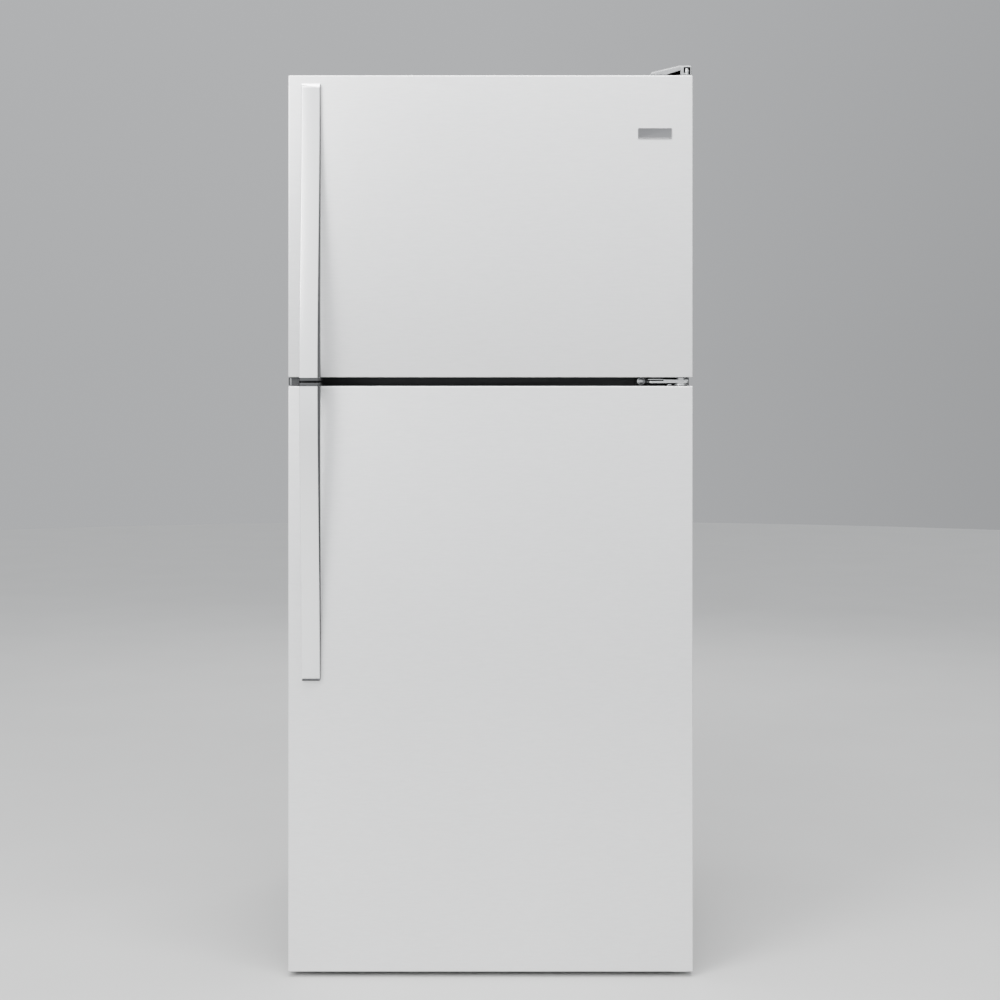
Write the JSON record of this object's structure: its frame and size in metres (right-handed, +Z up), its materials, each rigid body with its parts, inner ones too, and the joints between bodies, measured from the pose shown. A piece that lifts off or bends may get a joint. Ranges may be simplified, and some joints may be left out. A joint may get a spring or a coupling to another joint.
{
  "type": "top freezer refrigerator",
  "caption": "Upright refrigerator with a freezer compartment on top, hinged stainless doors with bowed handles, and glass shelves, drawers and door bins inside.",
  "frame": {"origin": "on the floor under the middle of the whole object's box, handles included", "axes": "+Z up, +X towards the hinge side, -Y out of the doors"},
  "size_m": [0.747, 0.807, 1.6838],
  "materials": {
    "stainless": "satin",
    "handle_steel": "satin",
    "cabinet_paint": "satin",
    "zinc_steel": "satin",
    "black_plastic": "matte",
    "silver_plastic": "satin",
    "grey_plastic": "satin",
    "white_plastic": "satin",
    "clear_plastic": "gloss",
    "shelf_glass": "gloss",
    "foam": "matte",
    "gasket_vinyl": "matte",
    "black_steel": "satin",
    "aluminium_fin": "satin",
    "fibre_board": "matte"
  },
  "bodies": {
    "cabinet": {"cabinet_wrapper": "cabinet_paint", "back_panel": "zinc_steel", "center_rail": "cabinet_paint", "base_pan": "zinc_steel", "cabinet_foam": "foam", "freezer_liner": "white_plastic", "fridge_liner": "white_plastic", "base_grille": "black_plastic", "compressor": "black_steel", "condenser_coil": "black_steel", "condenser_fan_shroud": "black_plastic", "drain_pan": "black_plastic", "machine_cover": "fibre_board", "evaporator_coil": "aluminium_fin", "evaporator_cover": "white_plastic", "upper_shelf_frame": "white_plastic", "upper_shelf_glass": "shelf_glass", "lower_shelf_frame": "white_plastic", "lower_shelf_glass": "shelf_glass", "crisper_cover": "clear_plastic", "freezer_shelf": "white_plastic", "control_housing": "white_plastic", "lamp_cover": "clear_plastic", "middle_hinge": "zinc_steel", "middle_hinge_screw": "zinc_steel", "top_hinge": "zinc_steel", "top_hinge_cover": "silver_plastic", "bottom_hinge": "zinc_steel"},
    "freezer_door": {"freezer_door_skin": "stainless", "freezer_door_foam": "foam", "freezer_door_liner": "white_plastic", "freezer_door_gasket": "gasket_vinyl", "freezer_door_top_cap": "grey_plastic", "freezer_door_bottom_cap": "grey_plastic", "freezer_door_handle": "handle_steel", "badge_plate": "silver_plastic", "freezer_door_bin": "white_plastic", "hinge_hole_plug": "grey_plastic"},
    "fridge_door": {"fridge_door_skin": "stainless", "fridge_door_foam": "foam", "fridge_door_liner": "white_plastic", "fridge_door_gasket": "gasket_vinyl", "fridge_door_top_cap": "grey_plastic", "fridge_door_bottom_cap": "grey_plastic", "fridge_door_handle": "handle_steel", "lower_door_bin": "clear_plastic", "upper_door_bin": "clear_plastic", "dairy_compartment": "clear_plastic"},
    "dairy_lid": {"dairy_lid": "clear_plastic"},
    "left_crisper_drawer": {"left_crisper_drawer": "clear_plastic"},
    "right_crisper_drawer": {"right_crisper_drawer": "clear_plastic"},
    "fridge_temperature_knob": {"fridge_temperature_knob": "grey_plastic"},
    "freezer_temperature_knob": {"freezer_temperature_knob": "grey_plastic"},
    "light_switch_plunger": {"light_switch_plunger": "white_plastic"},
    "left_levelling_foot": {"left_levelling_foot": "black_plastic"},
    "right_levelling_foot": {"right_levelling_foot": "black_plastic"},
    "left_rear_roller": {"left_rear_roller": "black_plastic"},
    "right_rear_roller": {"right_rear_roller": "black_plastic"},
    "condenser_fan": {"condenser_fan": "black_plastic"},
    "evaporator_fan": {"evaporator_fan": "black_plastic"}
  },
  "joints": [
    {"name": "freezer_door_hinge", "type": "hinge", "parent": "cabinet", "child": "freezer_door", "pos_m": [0.3535, -0.3235, 1.1065], "axis": [0, 0, 1], "range_deg": [0, 135]},
    {"name": "fridge_door_hinge", "type": "hinge", "parent": "cabinet", "child": "fridge_door", "pos_m": [0.3535, -0.3235, 0.01], "axis": [0, 0, 1], "range_deg": [0, 135]},
    {"name": "dairy_lid_hinge", "type": "hinge", "parent": "fridge_door", "child": "dairy_lid", "pos_m": [0, -0.2025, 1.03125], "axis": [1, 0, 0], "range_deg": [0, 80]},
    {"name": "left_drawer_slide", "type": "slide", "parent": "cabinet", "child": "left_crisper_drawer", "axis": [0, -1, 0], "range_m": [0, 0.24]},
    {"name": "right_drawer_slide", "type": "slide", "parent": "cabinet", "child": "right_crisper_drawer", "axis": [0, -1, 0], "range_m": [0, 0.24]},
    {"name": "light_switch_slide", "type": "slide", "parent": "cabinet", "child": "light_switch_plunger", "axis": [0, -1, 0], "range_m": [0, 0.006]},
    {"name": "fridge_knob_turn", "type": "hinge", "parent": "cabinet", "child": "fridge_temperature_knob", "pos_m": [-0.085, -0.0668, 1.04795], "axis": [0, -1, 0], "range_deg": [-120, 120]},
    {"name": "freezer_knob_turn", "type": "hinge", "parent": "cabinet", "child": "freezer_temperature_knob", "pos_m": [0.085, -0.0668, 1.04795], "axis": [0, -1, 0], "range_deg": [-120, 120]},
    {"name": "left_foot_thread", "type": "hinge", "parent": "cabinet", "child": "left_levelling_foot", "pos_m": [-0.3135, -0.2315, 0], "axis": [0, 0, 1], "continuous": true},
    {"name": "right_foot_thread", "type": "hinge", "parent": "cabinet", "child": "right_levelling_foot", "pos_m": [0.3135, -0.2315, 0], "axis": [0, 0, 1], "continuous": true},
    {"name": "left_roller_axle", "type": "hinge", "parent": "cabinet", "child": "left_rear_roller", "pos_m": [-0.3175, 0.3435, 0.02], "axis": [1, 0, 0], "continuous": true},
    {"name": "right_roller_axle", "type": "hinge", "parent": "cabinet", "child": "right_rear_roller", "pos_m": [0.3175, 0.3435, 0.02], "axis": [1, 0, 0], "continuous": true},
    {"name": "condenser_fan_spin", "type": "hinge", "parent": "cabinet", "child": "condenser_fan", "pos_m": [0.016, 0.2885, 0.1313], "axis": [1, 0, 0], "continuous": true},
    {"name": "evaporator_fan_spin", "type": "hinge", "parent": "cabinet", "child": "evaporator_fan", "pos_m": [0, 0.2875, 1.46325], "axis": [0, -1, 0], "continuous": true}
  ],
  "couplings": [
    {"joint": "left_drawer_slide", "follows": "fridge_door_hinge", "m_per_rad": 0.10182},
    {"joint": "right_drawer_slide", "follows": "fridge_door_hinge", "m_per_rad": 0.10182},
    {"joint": "light_switch_slide", "follows": "fridge_door_hinge", "m_per_rad": 0.002542}
  ]
}
